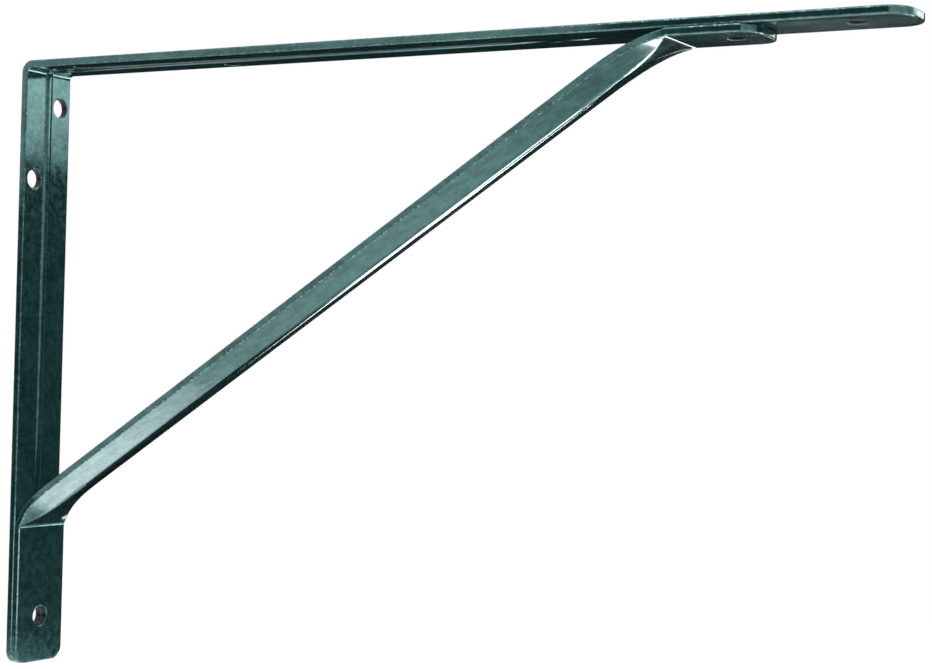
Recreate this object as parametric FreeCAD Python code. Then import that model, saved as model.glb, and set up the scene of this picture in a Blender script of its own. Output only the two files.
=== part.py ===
import FreeCAD, Part
import math
import os

# Braced shelf bracket. A flat steel strip is bent to a right angle: the long arm
# carries the shelf and the short leg lies on the wall. A second strip, folded to a
# shallow V along its middle, runs across the corner and is flattened at both ends
# into tabs that lie on the inner faces of the arm and the leg.
# Millimetres. While a piece is made, x is the distance out from the wall, z the
# height above the shelf face and y the distance across from the middle of the strip.

# The bent strip
arm_length = 500.0
leg_length = 330.0
strip_width = 35.0
strip_thickness = 4.0
corner_inside_radius = 2.5
arm_tip_corner_radius = 13.0
leg_foot_corner_radius = 7.0
rim_break = 0.5

# The pressed bead along the middle of the bent strip
bead_width = 5.6
bead_height = 1.1
bead_gap_to_brace_on_arm = 31.0
bead_fade_on_arm = 60.0
bead_gap_to_brace_on_leg = 10.5
bead_fade_on_leg = 12.0
pinch_radius = 2.4
pinch_from_corner = 7.5
pinch_offset = -1.5
pinch_depth = 1.5

# The brace
brace_width = 36.0
brace_thickness = 4.0
upper_bend_from_tip = 114.0
upper_tab_length = 44.0
lower_tab_length = 75.5
upper_tab_corner_radius = 11.0
lower_tab_corner_radius = 7.0
tab_bend_radius = 2.5
fold_angle = 15.0
fold_radius = 12.0
crown_half_width = 0.5
crown_setback = 2.6
flat_rim_run = 1.0
upper_facet_length = 24.0
upper_facet_fold_angle = 11.0
upper_fade_length = 52.0
lower_facet_length = 19.0
lower_facet_fold_angle = 13.0
lower_fade_length = 32.0
fold_settle_run = 8.0

# Holes
wall_hole_diameter = 10.5
shelf_hole_diameter = 8.0
hole_offset = 9.5
wall_hole_drops = (23.0, 64.0)
foot_hole_rise = 25.0
shelf_hole_distances = (35.0, 122.0)
tab_hole_from_tab_end = 16.0
tip_hole_from_tip = 29.0
hole_edge_break = 0.35

# Sizes that follow from the ones above
half_width = strip_width / 2
half_brace = brace_width / 2
outside_radius = corner_inside_radius + strip_thickness
visible_face = strip_thickness + brace_thickness
upper_bend_from_wall = arm_length - upper_bend_from_tip
upper_tab_end = upper_bend_from_wall + upper_tab_length
tab_hole_from_wall = upper_tab_end - tab_hole_from_tab_end
lower_bend_drop = leg_length - lower_tab_length
foot_hole_drop = leg_length - foot_hole_rise
bead_end_on_arm = upper_bend_from_wall - bead_gap_to_brace_on_arm
bead_end_on_leg = lower_bend_drop - bead_gap_to_brace_on_leg
bead_radius = (bead_width ** 2 / 4 + bead_height ** 2) / (2 * bead_height)
across = FreeCAD.Vector(0, 1, 0)


def point(x, z, y=0.0):
    return FreeCAD.Vector(x, y, z)


def arc(start, middle, end):
    return Part.Arc(start, middle, end).toShape()


def line(start, end):
    return Part.LineSegment(start, end).toShape()


def edges_where(shape, wanted):
    return [edge for edge in shape.Edges if wanted(edge)]


# One side of a bend: the quarter arc between the arm's face and the leg's face
def corner_arc(radius, inset):
    centre = inset + radius
    reach = centre - radius * math.sqrt(0.5)
    return arc(point(inset, -centre), point(reach, -reach), point(centre, -inset))


# The strip before it is pressed and drilled, with its ends rounded and its rims broken
def bent_strip():
    outer = corner_arc(outside_radius, 0.0)
    inner = corner_arc(corner_inside_radius, strip_thickness)
    inner_start = strip_thickness + corner_inside_radius
    edges = [
        line(point(0, -leg_length), point(0, -outside_radius)),
        outer,
        line(point(outside_radius, 0), point(arm_length, 0)),
        line(point(arm_length, 0), point(arm_length, -strip_thickness)),
        line(point(arm_length, -strip_thickness), point(inner_start, -strip_thickness)),
        inner,
        line(point(strip_thickness, -inner_start), point(strip_thickness, -leg_length)),
        line(point(strip_thickness, -leg_length), point(0, -leg_length)),
    ]
    profile = Part.Face(Part.Wire(Part.__sortEdges__(edges)))
    profile.translate(across * -half_width)
    strip = profile.extrude(across * strip_width)

    def through_thickness(edge):
        return abs(edge.Length - strip_thickness) < 1e-6

    def at_tip(edge):
        return edge.CenterOfMass.x > arm_length - arm_tip_corner_radius

    def at_foot(edge):
        return edge.CenterOfMass.z < -leg_length + leg_foot_corner_radius

    tip = edges_where(strip, lambda edge: through_thickness(edge) and at_tip(edge))
    strip = strip.makeFillet(arm_tip_corner_radius, tip)
    foot = edges_where(strip, lambda edge: through_thickness(edge) and at_foot(edge))
    strip = strip.makeFillet(leg_foot_corner_radius, foot)

    def on_outline(edge):
        beside = abs(edge.CenterOfMass.y) > half_width - rim_break
        return (beside or at_tip(edge) or at_foot(edge)) and not through_thickness(edge)

    return strip.makeChamfer(rim_break, edges_where(strip, on_outline))


# A round bar that thins to nothing over its last stretch. Where it stands out of a
# face it is the bead, and where it is cut out of one it is the groove behind.
def tapering_bar(start, direction, length, fade_length):
    straight = length - fade_length
    thin = bead_radius - bead_height
    bar = Part.makeCylinder(bead_radius, straight, start, direction)
    fade = Part.makeCone(bead_radius, thin, fade_length, start + direction * straight, direction)
    return bar.fuse(fade)


# The bead on the inner faces, kept to what stands out of them
def raised_bead():
    sunk = strip_thickness - (bead_radius - bead_height)
    out = FreeCAD.Vector(1, 0, 0)
    down = FreeCAD.Vector(0, 0, -1)
    corner = strip_thickness / 2
    on_arm = tapering_bar(point(corner, -sunk), out, bead_end_on_arm - corner, bead_fade_on_arm)
    on_leg = tapering_bar(point(sunk, -corner), down, bead_end_on_leg - corner, bead_fade_on_leg)
    bars = on_arm.fuse(on_leg)
    room = Part.makeBox(
        arm_length, strip_width, leg_length,
        point(strip_thickness, -strip_thickness - leg_length, -half_width))
    return bars.common(room)


# The groove that pressing the bead leaves in the shelf face, round the bend and
# down the wall face
def pressed_groove():
    proud = bead_radius - bead_height
    out = FreeCAD.Vector(1, 0, 0)
    down = FreeCAD.Vector(0, 0, -1)
    arm_run = bead_end_on_arm - outside_radius
    leg_run = bead_end_on_leg - outside_radius
    on_arm = tapering_bar(point(outside_radius, proud), out, arm_run, bead_fade_on_arm)
    on_leg = tapering_bar(point(-proud, -outside_radius), down, leg_run, bead_fade_on_leg)
    ring = Part.makeTorus(
        outside_radius + proud, bead_radius,
        point(outside_radius, -outside_radius), across)
    quarter = Part.makeBox(
        4 * outside_radius, strip_width, 4 * outside_radius,
        point(-3 * outside_radius, -outside_radius, -half_width))
    return on_arm.fuse([on_leg, ring.common(quarter)])


# A drilled hole with its two rims lightly broken
def hole_cutter(diameter, start, direction, depth):
    radius = diameter / 2
    wide = radius + hole_edge_break
    drill = Part.makeCylinder(radius, depth, start, direction)
    near_rim = Part.makeCone(wide, radius, hole_edge_break, start, direction)
    far_start = start + direction * (depth - hole_edge_break)
    far_rim = Part.makeCone(radius, wide, hole_edge_break, far_start, direction)
    return drill.fuse([near_rim, far_rim])


def hole_through_leg(drop, y):
    start = point(0, -drop, y)
    return hole_cutter(wall_hole_diameter, start, FreeCAD.Vector(1, 0, 0), strip_thickness)


def hole_through_arm(distance, y):
    start = point(distance, 0, y)
    return hole_cutter(shelf_hole_diameter, start, FreeCAD.Vector(0, 0, -1), strip_thickness)


def angle_strip():
    strip = bent_strip()
    strip = strip.fuse(raised_bead()).removeSplitter()
    far_drop, near_drop = wall_hole_drops
    near_distance, far_distance = shelf_hole_distances
    pinch_drop = strip_thickness + bead_height - pinch_depth + pinch_radius
    cuts = [
        pressed_groove(),
        Part.makeSphere(pinch_radius, point(pinch_from_corner, -pinch_drop, pinch_offset)),
        hole_through_leg(far_drop, hole_offset),
        hole_through_leg(near_drop, -hole_offset),
        hole_through_leg(foot_hole_drop, 0.0),
        hole_through_arm(near_distance, -hole_offset),
        hole_through_arm(far_distance, hole_offset),
        hole_through_arm(tab_hole_from_wall, 0.0),
        hole_through_arm(arm_length - tip_hole_from_tip, 0.0),
    ]
    return strip.cut(cuts)


# The brace's own axes: the line through both tab bends on the faces that show,
# and the square direction away from the corner, to which its fold points
lower_bend = point(visible_face, -lower_bend_drop)
upper_bend = point(upper_bend_from_wall, -visible_face)
chord = upper_bend - lower_bend
chord_length = chord.Length
along = chord * (1 / chord_length)
outward = FreeCAD.Vector(-along.z, 0, along.x) * -1


def on_chord(distance, height=0.0):
    return lower_bend + along * distance + outward * height


# The brace's closed section, with its middle at origin and its front facing out. The
# same sixteen edges make the flat ends and the folded middle: the crown, and on each
# side the turn of the fold, the flank and the eased rim, on the front and the back.
def section_wire(origin, out, angle, crown, turn_run, flank):
    tilt = math.radians(angle)
    fall = fold_radius * (1 - math.cos(tilt))
    full = brace_thickness

    def half(side):
        def placed(y, depth):
            return origin + across * (y * side) - out * depth

        def on_turn(depth, turn):
            radius = fold_radius - depth
            return placed(crown + radius * math.sin(turn), fold_radius - radius * math.cos(turn))

        def on_flank(distance, depth):
            y = crown + turn_run + distance * math.cos(tilt) - depth * math.sin(tilt)
            return placed(y, fall + distance * math.sin(tilt) + depth * math.cos(tilt))

        def turned(depth):
            if angle:
                return arc(on_turn(depth, 0), on_turn(depth, tilt / 2), on_flank(0, depth))
            return line(placed(crown, depth), on_flank(0, depth))

        face_end = flank - rim_break
        deep = full - rim_break
        return [
            turned(0),
            line(on_flank(0, 0), on_flank(face_end, 0)),
            line(on_flank(face_end, 0), on_flank(flank, rim_break)),
            line(on_flank(flank, rim_break), on_flank(flank, deep)),
            line(on_flank(flank, deep), on_flank(face_end, full)),
            line(on_flank(face_end, full), on_flank(0, full)),
            turned(full),
        ]

    def crown_line(depth):
        return line(origin - across * crown - out * depth, origin + across * crown - out * depth)

    edges = half(1) + half(-1) + [crown_line(0), crown_line(full)]
    return Part.Wire(Part.__sortEdges__(edges))


# In the flat ends the crown takes nearly the whole width, so that between there and
# the fold the middle is one triangular facet
flat_crown = half_brace - rim_break - 2 * flat_rim_run


def flat_section(origin, out):
    return section_wire(origin, out, 0.0, flat_crown, flat_rim_run, flat_rim_run + rim_break)


# The fold's middle line keeps the width of the strip it was folded from
def folded_section(distance, angle):
    tilt = math.radians(angle)
    flank = half_brace - crown_half_width - (fold_radius - brace_thickness / 2) * tilt
    origin = on_chord(distance, -crown_setback)
    return section_wire(origin, outward, angle, crown_half_width, fold_radius * math.sin(tilt), flank)


# A tab's bend: where it starts on the tab, where it ends on the facet, and its solid
def tab_bend(corner, tab_direction, tab_out, facet_direction, facet_out):
    turn = math.pi - tab_direction.getAngle(facet_direction)
    run = tab_bend_radius * math.tan(turn / 2)
    start = corner + tab_direction * run
    end = corner + facet_direction * run
    axis_point = start + tab_out * tab_bend_radius
    spin = across if tab_out.cross(facet_out).dot(across) > 0 else across * -1
    face = Part.Face(flat_section(start, tab_out))
    return start, end, face.revolve(axis_point, spin, math.degrees(turn))


# A flat tab from its bend to its end, with the end's corners rounded and its rims broken
def tab(start, direction, out, end_distance, corner_radius):
    length = end_distance - start.dot(direction)
    corner = start - across * half_brace - out * brace_thickness
    outline = Part.makePolygon([
        corner,
        corner + direction * length,
        corner + direction * length + across * brace_width,
        corner + across * brace_width,
        corner,
    ])
    plate = Part.Face(outline).extrude(out * brace_thickness)

    def reach(edge):
        return (edge.CenterOfMass - start).dot(direction)

    def through_thickness(edge):
        return abs(edge.Length - brace_thickness) < 1e-6

    ends = edges_where(plate, lambda edge: through_thickness(edge) and reach(edge) > length / 2)
    plate = plate.makeFillet(corner_radius, ends)
    outline_edges = edges_where(
        plate, lambda edge: reach(edge) > rim_break and not through_thickness(edge))
    return plate.makeChamfer(rim_break, outline_edges)


def brace():
    down = FreeCAD.Vector(0, 0, -1)
    out = FreeCAD.Vector(1, 0, 0)
    upper_facet_place = chord_length - upper_facet_length
    lower_crown = on_chord(lower_facet_length, -crown_setback)
    upper_crown = on_chord(upper_facet_place, -crown_setback)
    lower_facet = (lower_crown - lower_bend).normalize()
    upper_facet = (upper_crown - upper_bend).normalize()
    lower_facet_out = FreeCAD.Vector(lower_facet.z, 0, -lower_facet.x)
    upper_facet_out = FreeCAD.Vector(-upper_facet.z, 0, upper_facet.x)
    lower_start, lower_end, lower_solid = tab_bend(lower_bend, down, out, lower_facet, lower_facet_out)
    upper_start, upper_end, upper_solid = tab_bend(upper_bend, out, down, upper_facet, upper_facet_out)
    upper_fade_place = chord_length - upper_fade_length
    lower_sections = [
        flat_section(lower_end, lower_facet_out),
        folded_section(lower_facet_length, lower_facet_fold_angle),
        folded_section(lower_fade_length, fold_angle),
        folded_section(lower_fade_length + fold_settle_run, fold_angle),
    ]
    upper_sections = [
        folded_section(upper_fade_place - fold_settle_run, fold_angle),
        folded_section(upper_fade_place, fold_angle),
        folded_section(upper_facet_place, upper_facet_fold_angle),
        flat_section(upper_end, upper_facet_out),
    ]
    lower_fade = Part.makeLoft(lower_sections, True, False)
    full_fold = Part.makeLoft([lower_sections[-1], upper_sections[0]], True, True)
    upper_fade = Part.makeLoft(upper_sections, True, False)
    folds = [lower_fade, full_fold, upper_fade]
    lower_tab = tab(lower_start, down, out, leg_length, lower_tab_corner_radius)
    upper_tab = tab(upper_start, out, down, upper_tab_end, upper_tab_corner_radius)
    shape = lower_tab.fuse([lower_solid, upper_solid, upper_tab] + folds)
    foot_hole = hole_cutter(
        wall_hole_diameter, point(strip_thickness, -foot_hole_drop), out, brace_thickness)
    tab_hole = hole_cutter(
        shelf_hole_diameter, point(tab_hole_from_wall, -strip_thickness), down, brace_thickness)
    return shape.cut([foot_hole, tab_hole])


# The finished pieces are moved so that the origin is the middle of the foot hole on
# the wall face, the hole that the other wall holes are set out from
def export(name, shape):
    shape.translate(FreeCAD.Vector(0, 0, foot_hole_drop))
    if shape.ShapeType == "Compound" and len(shape.Solids) == 1:
        shape = shape.Solids[0]
    shape.exportStep("parts/" + name + ".step")
    print(name, "solids", len(shape.Solids), "valid", shape.isValid(), "volume", round(shape.Volume))


os.makedirs("parts", exist_ok=True)
export("angle_strip", angle_strip())
export("brace", brace())
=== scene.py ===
import math

import bpy
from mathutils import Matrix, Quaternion, Vector

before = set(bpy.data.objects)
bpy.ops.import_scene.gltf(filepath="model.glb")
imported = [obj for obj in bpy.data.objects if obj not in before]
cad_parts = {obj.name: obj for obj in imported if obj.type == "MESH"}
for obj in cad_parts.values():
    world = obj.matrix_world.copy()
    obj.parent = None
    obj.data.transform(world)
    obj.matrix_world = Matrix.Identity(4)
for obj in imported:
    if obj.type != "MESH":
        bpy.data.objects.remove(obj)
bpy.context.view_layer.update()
scene = bpy.context.scene
scene.view_settings.view_transform = "Standard"

# The camera stands below the arm and to the right of it, about a metre away, and sees
# the arm's underside, the leg's inner face and the near edges. Its lens looks slightly
# off centre, as far as the close framing of the bracket needs.
camera_place = Vector((0.7594, -0.8290, 0.1449))
camera_aim = Vector((0.3142, 0.0, 0.1472))
camera_roll = math.radians(1.58)
camera = bpy.data.objects.new("camera", bpy.data.cameras.new("camera"))
camera.data.sensor_width = 36.0
camera.data.lens = 75.8
camera.data.shift_x = -0.0736
camera.data.shift_y = 0.0300
camera.location = camera_place
camera.rotation_mode = "QUATERNION"
looking = (camera_aim - camera_place).to_track_quat("-Z", "Y")
camera.rotation_quaternion = looking @ Quaternion((0.0, 0.0, 1.0), camera_roll)
scene.collection.objects.link(camera)
scene.camera = camera


# The studio round the bracket is white. The lens and the glossy paint see it as plain
# white, and it fills the shadows with a softer light.
def add_node(nodes, kind, **settings):
    node = nodes.new(kind)
    for setting, value in settings.items():
        setattr(node, setting, value)
    return node


def white_for_lens_and_gloss(nodes, links):
    light_path = nodes.new("ShaderNodeLightPath")
    lens_or_gloss = add_node(nodes, "ShaderNodeMath", operation="MAXIMUM")
    any_of_three = add_node(nodes, "ShaderNodeMath", operation="MAXIMUM")
    links.new(light_path.outputs["Is Camera Ray"], lens_or_gloss.inputs[0])
    links.new(light_path.outputs["Is Glossy Ray"], lens_or_gloss.inputs[1])
    links.new(lens_or_gloss.outputs[0], any_of_three.inputs[0])
    links.new(light_path.outputs["Is Transmission Ray"], any_of_three.inputs[1])
    return any_of_three.outputs[0]


fill_light = 0.45
plain_white = 1.0
studio = bpy.data.worlds.new("studio")
studio.use_nodes = True
scene.world = studio
nodes = studio.node_tree.nodes
links = studio.node_tree.links
nodes.clear()
brightness = nodes.new("ShaderNodeMapRange")
brightness.inputs["To Min"].default_value = fill_light
brightness.inputs["To Max"].default_value = plain_white
studio_light = nodes.new("ShaderNodeBackground")
studio_light.inputs["Color"].default_value = (1.0, 1.0, 1.0, 1.0)
studio_output = nodes.new("ShaderNodeOutputWorld")
links.new(white_for_lens_and_gloss(nodes, links), brightness.inputs["Value"])
links.new(brightness.outputs["Result"], studio_light.inputs["Strength"])
links.new(studio_light.outputs["Background"], studio_output.inputs["Surface"])


# The floor is matt white paper, a hand below the bracket's foot. It looks as white as
# the studio, and the bracket's soft shadow still falls on it.
floor_height = -0.36
floor_half = 12.0
paper_white = 0.9
paper_glow = 0.6
floor_mesh = bpy.data.meshes.new("floor")
floor_corners = [
    (-floor_half, -floor_half, floor_height),
    (floor_half, -floor_half, floor_height),
    (floor_half, floor_half, floor_height),
    (-floor_half, floor_half, floor_height),
]
floor_mesh.from_pydata(floor_corners, [], [(0, 1, 2, 3)])
floor = bpy.data.objects.new("floor", floor_mesh)
scene.collection.objects.link(floor)
paper = bpy.data.materials.new("white_paper")
paper.use_nodes = True
nodes = paper.node_tree.nodes
links = paper.node_tree.links
nodes.clear()
matt = nodes.new("ShaderNodeBsdfDiffuse")
matt.inputs["Color"].default_value = (paper_white, paper_white, paper_white, 1.0)
glow = nodes.new("ShaderNodeEmission")
glow_range = nodes.new("ShaderNodeMapRange")
glow_range.inputs["To Max"].default_value = paper_glow
both = nodes.new("ShaderNodeAddShader")
paper_output = nodes.new("ShaderNodeOutputMaterial")
links.new(white_for_lens_and_gloss(nodes, links), glow_range.inputs["Value"])
links.new(glow_range.outputs["Result"], glow.inputs["Strength"])
links.new(matt.outputs["BSDF"], both.inputs[0])
links.new(glow.outputs["Emission"], both.inputs[1])
links.new(both.outputs["Shader"], paper_output.inputs["Surface"])
floor_mesh.materials.append(paper)


# Two soft boxes light the bracket, one above in front and one behind on the right. Each
# is a flat lamp that the lens doesn't see. Its radiance is how bright a mirror shows it.
def soft_box(name, place, facing, width, height, radiance):
    lamp = bpy.data.lights.new(name, "AREA")
    lamp.shape = "RECTANGLE"
    lamp.size = width
    lamp.size_y = height
    lamp.energy = radiance * math.pi * width * height
    box = bpy.data.objects.new(name, lamp)
    box.location = place
    box.rotation_mode = "QUATERNION"
    box.rotation_quaternion = (Vector(facing) - Vector(place)).to_track_quat("-Z", "Y")
    box.visible_camera = False
    scene.collection.objects.link(box)


bracket_middle = (0.2, 0.0, 0.15)
soft_box("rear_right_box", (1.3, 1.35, 0.87), bracket_middle, 1.2, 0.9, 1.8)
soft_box("top_box", (0.1, -0.9, 1.7), bracket_middle, 1.2, 1.2, 2.5)


# Glowing cards lie on the floor round the bracket, and two stand further off. The brace's
# crown, bends, lower end and near face, the tab's edge and the rims mirror them as white
# lines, or as a sheen, because each card fades out towards its edges.
white_glow = (1.0, 1.0, 1.0)
warm_glow = (1.0, 0.80, 0.82)


def glowing_card(
    name, place, length, width, radiance, fade, spin=0.0, standing=False, colour=white_glow
):
    angle = math.radians(spin)
    half_along = Vector((math.cos(angle), math.sin(angle), 0.0)) * length / 2
    if standing:
        half_across = Vector((0.0, 0.0, 1.0)) * width / 2
    else:
        half_across = Vector((-math.sin(angle), math.cos(angle), 0.0)) * width / 2
    centre = Vector(place)
    corners = [
        centre - half_along - half_across,
        centre + half_along - half_across,
        centre + half_along + half_across,
        centre - half_along + half_across,
    ]
    mesh = bpy.data.meshes.new(name)
    mesh.from_pydata(corners, [], [(0, 1, 2, 3)])
    across_map = mesh.uv_layers.new(name="across")
    for corner, spot in zip(across_map.data, ((0, 0), (1, 0), (1, 1), (0, 1))):
        corner.uv = spot
    glow_paint = bpy.data.materials.new(name)
    glow_paint.use_nodes = True
    nodes = glow_paint.node_tree.nodes
    links = glow_paint.node_tree.links
    nodes.clear()
    apart = nodes.new("ShaderNodeSeparateXYZ")
    links.new(nodes.new("ShaderNodeTexCoord").outputs["UV"], apart.inputs[0])
    fades = []
    for axis in ("X", "Y"):
        from_middle = add_node(nodes, "ShaderNodeMath", operation="SUBTRACT")
        from_middle.inputs[1].default_value = 0.5
        away = add_node(nodes, "ShaderNodeMath", operation="ABSOLUTE")
        fall = add_node(nodes, "ShaderNodeMapRange", interpolation_type="SMOOTHSTEP")
        fall.inputs["From Min"].default_value = 0.5
        fall.inputs["From Max"].default_value = 0.5 - fade
        links.new(apart.outputs[axis], from_middle.inputs[0])
        links.new(from_middle.outputs[0], away.inputs[0])
        links.new(away.outputs[0], fall.inputs["Value"])
        fades.append(fall.outputs["Result"])
    level = add_node(nodes, "ShaderNodeMath", operation="MULTIPLY")
    links.new(fades[0], level.inputs[0])
    links.new(fades[1], level.inputs[1])
    brightness = add_node(nodes, "ShaderNodeMath", operation="MULTIPLY")
    brightness.inputs[1].default_value = radiance
    glow = nodes.new("ShaderNodeEmission")
    glow.inputs["Color"].default_value = (*colour, 1.0)
    clear = nodes.new("ShaderNodeBsdfTransparent")
    both = nodes.new("ShaderNodeAddShader")
    card_output = nodes.new("ShaderNodeOutputMaterial")
    links.new(level.outputs[0], brightness.inputs[0])
    links.new(brightness.outputs[0], glow.inputs["Strength"])
    links.new(glow.outputs["Emission"], both.inputs[0])
    links.new(clear.outputs["BSDF"], both.inputs[1])
    links.new(both.outputs["Shader"], card_output.inputs["Surface"])
    mesh.materials.append(glow_paint)
    glowing = bpy.data.objects.new(name, mesh)
    glowing.visible_camera = False
    glowing.visible_diffuse = False
    glowing.visible_shadow = False
    scene.collection.objects.link(glowing)


glowing_card("crown_glow", (0.25, 0.935, -0.345), 0.60, 0.30, 6.5, spin=26.0, fade=0.15)
glowing_card("corner_glow", (-0.14, 1.33, -0.335), 0.36, 0.60, 6.0, fade=0.1)
glowing_card("upper_bend_glow", (-0.21, 1.85, -0.28), 0.38, 0.12, 9.0, fade=0.1, standing=True)
glowing_card("lower_end_glow", (-0.05, 0.23, -0.335), 0.32, 0.24, 2.4, fade=0.4, colour=warm_glow)
glowing_card("flank_glow", (0.18, 0.33, -0.34), 0.74, 0.25, 0.6, spin=24.0, fade=0.3)
glowing_card("rim_glow", (0.12, -0.17, -0.335), 0.80, 0.38, 1.2, fade=0.35)
glowing_card("tab_edge_glow", (1.75, -1.65, -0.24), 0.70, 0.24, 8.0, fade=0.2, standing=True)
glowing_card("inner_bends_glow", (0.70, 1.00, -0.335), 0.60, 0.28, 9.0, spin=37.0, fade=0.15)


# Matt green cards, most of them dark, stand round the bracket and lie on the floor, out
# of the lens's sight. Faces that would only mirror the white studio show their paint's
# depth with them.
green_of_card = (0.36, 1.0, 0.98)
pale_green_of_card = (0.74, 1.0, 0.99)
card_lift = 0.01


def card(name, shade, corners, tint=green_of_card):
    matt_card = bpy.data.materials.new(name)
    matt_card.use_nodes = True
    card_shader = matt_card.node_tree.nodes["Principled BSDF"]
    colour = [shade * part for part in tint]
    card_shader.inputs["Base Color"].default_value = (*colour, 1.0)
    card_shader.inputs["Roughness"].default_value = 1.0
    card_shader.inputs["Specular IOR Level"].default_value = 0.0
    mesh = bpy.data.meshes.new(name)
    mesh.from_pydata(corners, [], [(0, 1, 2, 3)])
    mesh.materials.append(matt_card)
    board = bpy.data.objects.new(name, mesh)
    board.visible_camera = False
    board.visible_diffuse = False
    board.visible_shadow = False
    scene.collection.objects.link(board)


def standing_card(name, shade, left, right, bottom, top):
    lowest = [(*left, bottom), (*right, bottom)]
    highest = [(*right, top), (*left, top)]
    card(name, shade, lowest + highest)


def lying_card(name, shade, near_left, far_right, tint=green_of_card):
    left, near = near_left
    right, far = far_right
    low = floor_height + card_lift
    corners = [(left, near, low), (right, near, low), (right, far, low), (left, far, low)]
    card(name, shade, corners, tint)


standing_card("rear_card", 0.032, (-3.2, 1.9), (0.9, 1.9), -0.35, 1.0)
standing_card("right_upper_card", 0.01, (1.1, 1.95), (2.6, 0.4), 0.38, 0.50)
standing_card("right_lower_card", 0.15, (1.1, 1.95), (2.6, 0.4), -0.35, 0.38)
standing_card("left_front_card", 0.06, (-2.6, -0.9), (-0.75, -2.2), -0.35, 0.42)
standing_card("front_card", 0.02, (-0.75, -2.2), (1.2, -2.2), -0.35, 1.6)
lying_card("far_floor_card", 0.01, (-3.2, 1.15), (1.1, 1.9))
lying_card("near_floor_card", 1.0, (0.08, 0.10), (0.80, 0.72), pale_green_of_card)
lying_card("lower_end_card", 0.05, (-0.45, 0.40), (0.07, 0.60))
lying_card("middle_floor_card", 0.03, (-1.0, 0.60), (0.20, 1.15))


# The angle strip is the bracket's arm and leg: one steel strip, bent at the corner,
# with a pressed bead and punched holes. It is painted with a dark teal enamel with fine
# metal in it, under a clear gloss, which wears bright along the edges.
def number(nodes, links, operation, first, second):
    step = add_node(nodes, "ShaderNodeMath", operation=operation)
    for socket, value in zip(step.inputs, (first, second)):
        if isinstance(value, (int, float)):
            socket.default_value = value
        else:
            links.new(value, socket)
    return step.outputs[0]


def remap(nodes, links, value, low, high, to_low, to_high):
    step = nodes.new("ShaderNodeMapRange")
    step.inputs["From Min"].default_value = low
    step.inputs["From Max"].default_value = high
    step.inputs["To Min"].default_value = to_low
    step.inputs["To Max"].default_value = to_high
    links.new(value, step.inputs["Value"])
    return step.outputs["Result"]


def noise(nodes, links, place, scale, detail):
    step = nodes.new("ShaderNodeTexNoise")
    step.inputs["Scale"].default_value = scale
    step.inputs["Detail"].default_value = detail
    links.new(place, step.inputs["Vector"])
    return step.outputs["Fac"]


def bump(nodes, links, height, depth, before):
    step = nodes.new("ShaderNodeBump")
    step.inputs["Distance"].default_value = depth
    links.new(height, step.inputs["Height"])
    links.new(before, step.inputs["Normal"])
    return step.outputs["Normal"]


deep_teal = (0.022, 0.090, 0.087, 1.0)
light_teal = (0.056, 0.168, 0.163, 1.0)
chipped_edge = (0.42, 0.56, 0.55, 1.0)
# Painted shade: the near black given to the walls of the holes
painted_hole_shade = (0.004, 0.009, 0.009, 1.0)
rolling_stretch = (12.0, 260.0, 260.0)
cloud_scale = 85.0
mottle_scale = 480.0
grain_scale = 900.0
wave_scale = 28.0
chip_scale = 620.0
edge_rounding = 0.0010
# Painted shade: how far the occlusion darkening in the corners reaches, and how dark it gets
painted_shade_reach = 0.006
painted_shade_darkest = 0.2
noise_low = 0.3
noise_high = 0.7
mottle_strength = 0.20
streak_strength = 0.28
deep_end = 0.24
light_end = 0.78
smooth_gloss = 0.08
rough_gloss = 0.14
metal_share = 0.72
clear_coat = 0.45
coat_roughness = 0.04
wave_depth = 0.00035
line_depth = 0.00002
peel_depth = 0.000003
wall_roughness = 0.5


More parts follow.
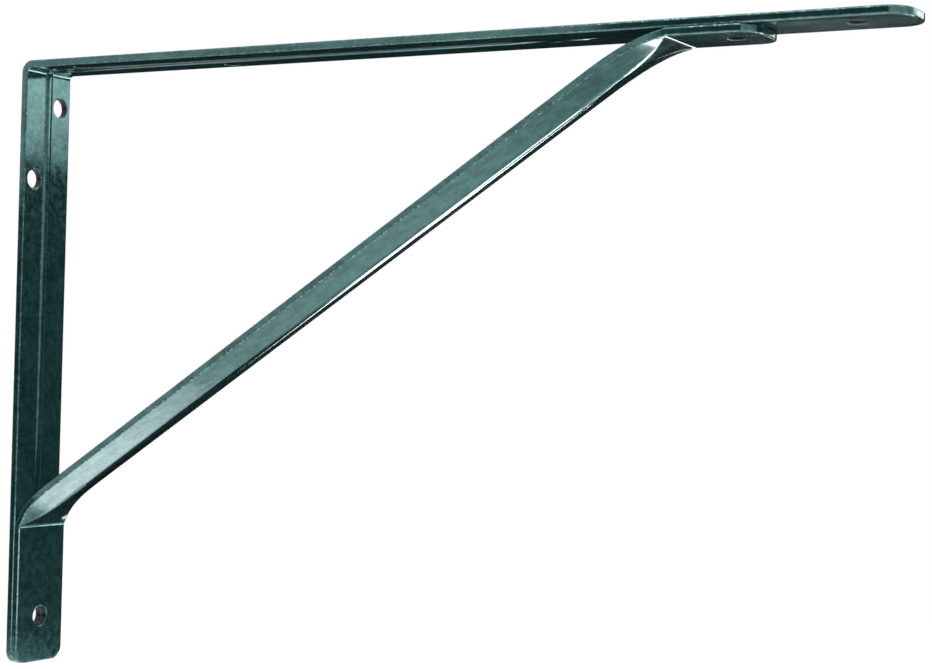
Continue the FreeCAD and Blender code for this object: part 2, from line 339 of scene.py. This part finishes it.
def teal_enamel(name, run_direction, punched_holes):
    enamel = bpy.data.materials.new(name)
    enamel.use_nodes = True
    nodes = enamel.node_tree.nodes
    links = enamel.node_tree.links
    shader = nodes["Principled BSDF"]
    place = nodes.new("ShaderNodeTexCoord").outputs["Object"]

    # Rolling lines run along the strip
    along = nodes.new("ShaderNodeMapping")
    along.inputs["Rotation"].default_value = (0.0, run_direction, 0.0)
    along.inputs["Scale"].default_value = rolling_stretch
    links.new(place, along.inputs["Vector"])
    rolling = noise(nodes, links, along.outputs["Vector"], 1.0, 3.0)

    # Clouds and mottling vary the colour, waves and grain the surface
    clouds = noise(nodes, links, place, cloud_scale, 5.0)
    mottle = noise(nodes, links, place, mottle_scale, 3.0)
    grain = noise(nodes, links, place, grain_scale, 2.0)
    waves = noise(nodes, links, place, wave_scale, 1.0)

    # The paint is chipped in small spots along the edges
    rounded = add_node(nodes, "ShaderNodeBevel", samples=6)
    rounded.inputs["Radius"].default_value = edge_rounding
    flat = nodes.new("ShaderNodeNewGeometry").outputs["Normal"]
    turn = add_node(nodes, "ShaderNodeVectorMath", operation="DOT_PRODUCT")
    links.new(rounded.outputs["Normal"], turn.inputs[0])
    links.new(flat, turn.inputs[1])
    edge = remap(nodes, links, turn.outputs["Value"], 0.995, 0.93, 0.0, 1.0)
    spots = noise(nodes, links, place, chip_scale, 3.0)
    spotted = remap(nodes, links, spots, 0.52, 0.62, 0.0, 1.0)
    chips = number(nodes, links, "MULTIPLY", edge, spotted)

    # The colour runs from a deep to a lighter teal
    shade = nodes.new("ShaderNodeValToRGB")
    shade.color_ramp.elements[0].position = deep_end
    shade.color_ramp.elements[0].color = deep_teal
    shade.color_ramp.elements[1].position = light_end
    shade.color_ramp.elements[1].color = light_teal
    mottled = remap(nodes, links, mottle, noise_low, noise_high, -mottle_strength, mottle_strength)
    streaked = remap(nodes, links, rolling, noise_low, noise_high, -streak_strength, streak_strength)
    tone = number(nodes, links, "ADD", clouds, number(nodes, links, "ADD", mottled, streaked))
    links.new(tone, shade.inputs["Fac"])
    worn = add_node(nodes, "ShaderNodeMix", data_type="RGBA")
    colours = [socket for socket in worn.inputs if socket.type == "RGBA"]
    colours[1].default_value = chipped_edge
    links.new(chips, worn.inputs["Factor"])
    links.new(shade.outputs["Color"], colours[0])
    painted = [socket for socket in worn.outputs if socket.type == "RGBA"][0]

    # Painted shade: the walls of the holes are coloured near black, and they are also made rougher
    from_wall = None
    for kept_axes, centre, radius in punched_holes:
        across_hole = add_node(nodes, "ShaderNodeVectorMath", operation="MULTIPLY")
        across_hole.inputs[1].default_value = kept_axes
        from_centre = add_node(nodes, "ShaderNodeVectorMath", operation="DISTANCE")
        from_centre.inputs[1].default_value = centre
        links.new(place, across_hole.inputs[0])
        links.new(across_hole.outputs["Vector"], from_centre.inputs[0])
        gap = number(nodes, links, "SUBTRACT", from_centre.outputs["Value"], radius)
        from_wall = gap if from_wall is None else number(nodes, links, "MINIMUM", from_wall, gap)
    hole_wall_mask = remap(nodes, links, from_wall, 0.00005, 0.0003, 1.0, 0.0)
    hole_wall_shaded = add_node(nodes, "ShaderNodeMix", data_type="RGBA")
    colours = [socket for socket in hole_wall_shaded.inputs if socket.type == "RGBA"]
    colours[1].default_value = painted_hole_shade
    links.new(hole_wall_mask, hole_wall_shaded.inputs["Factor"])
    links.new(painted, colours[0])
    painted = [socket for socket in hole_wall_shaded.outputs if socket.type == "RGBA"][0]

    # Painted shade: ambient occlusion darkens the base colour in each strip's own inner corners and
    # creases, where shade falls
    corner_occlusion = add_node(nodes, "ShaderNodeAmbientOcclusion", samples=4, only_local=True)
    corner_occlusion.inputs["Distance"].default_value = painted_shade_reach
    painted_corner_shade = remap(nodes, links, corner_occlusion.outputs["AO"], 0.25, 0.65, painted_shade_darkest, 1.0)
    corner_shaded_paint = add_node(nodes, "ShaderNodeVectorMath", operation="SCALE")
    links.new(painted, corner_shaded_paint.inputs[0])
    links.new(painted_corner_shade, corner_shaded_paint.inputs["Scale"])
    links.new(corner_shaded_paint.outputs["Vector"], shader.inputs["Base Color"])

    # The gloss follows the rolling lines, over a wavy and finely grained surface
    gloss = remap(nodes, links, rolling, noise_low, noise_high, smooth_gloss, rough_gloss)
    rough_wall = number(nodes, links, "MULTIPLY", hole_wall_mask, wall_roughness)
    links.new(number(nodes, links, "ADD", gloss, rough_wall), shader.inputs["Roughness"])
    shader.inputs["Metallic"].default_value = metal_share
    shader.inputs["Coat Weight"].default_value = clear_coat
    shader.inputs["Coat Roughness"].default_value = coat_roughness
    wavy = bump(nodes, links, waves, wave_depth, rounded.outputs["Normal"])
    lined = bump(nodes, links, rolling, line_depth, wavy)
    peel = bump(nodes, links, grain, peel_depth, lined)
    links.new(peel, shader.inputs["Normal"])
    return enamel


# Each hole is given by the axes that lie across it, its centre and its radius
wall_hole_radius = 0.00525
shelf_hole_radius = 0.004
through_wall = (0.0, 1.0, 1.0)
through_shelf = (1.0, 1.0, 0.0)
foot_hole = (through_wall, (0.0, 0.0, 0.0), wall_hole_radius)
tab_hole = (through_shelf, (0.414, 0.0, 0.0), shelf_hole_radius)
strip_holes = [
    foot_hole,
    (through_wall, (0.0, -0.0095, 0.241), wall_hole_radius),
    (through_wall, (0.0, 0.0095, 0.282), wall_hole_radius),
    (through_shelf, (0.035, -0.0095, 0.0), shelf_hole_radius),
    (through_shelf, (0.122, 0.0095, 0.0), shelf_hole_radius),
    tab_hole,
    (through_shelf, (0.471, 0.0, 0.0), shelf_hole_radius),
]
angle_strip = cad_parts["angle_strip"]
angle_strip.data.materials[0] = teal_enamel("angle_strip_enamel", 0.0, strip_holes)


# The brace is a second strip, folded lengthwise into a shallow V, with a flat tab at
# each end under the arm and on the leg. It has the same enamel, with the rolling lines
# along its slope.
brace_slope = math.radians(37.0)
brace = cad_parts["brace"]
brace.data.materials[0] = teal_enamel("brace_enamel", brace_slope, [foot_hole, tab_hole])
